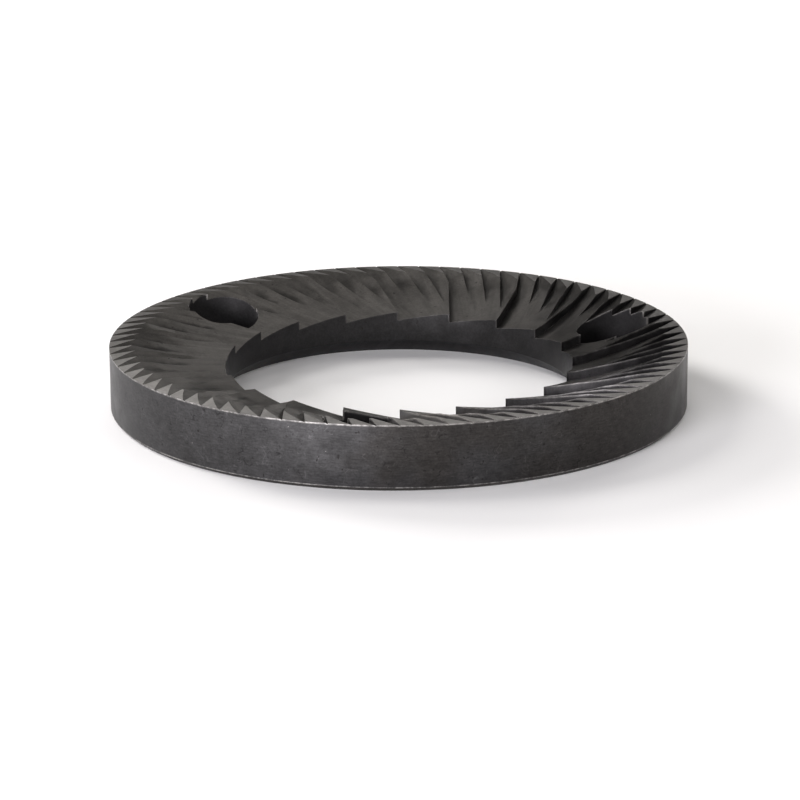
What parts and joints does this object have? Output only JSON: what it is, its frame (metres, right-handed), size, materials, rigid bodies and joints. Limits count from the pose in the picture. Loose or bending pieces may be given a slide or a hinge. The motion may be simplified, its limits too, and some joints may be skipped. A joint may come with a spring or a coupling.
{
  "type": "coffee grinder burr",
  "caption": "Flat toothed steel ring that grinds coffee beans between its ground face and a facing ring, with sunk screw holes for its carrier.",
  "frame": {"origin": "centre of the flat back face, on the ring's axis", "axes": "+Z along the ring's axis, from the back towards the teeth; a breaker step reaches the bore at +Y"},
  "size_m": [0.064, 0.064, 0.0072],
  "materials": {
    "hardened_steel": "dark hardened tool steel, ground, satin"
  },
  "bodies": {
    "root": {"burr": "hardened_steel"}
  },
  "joints": []
}
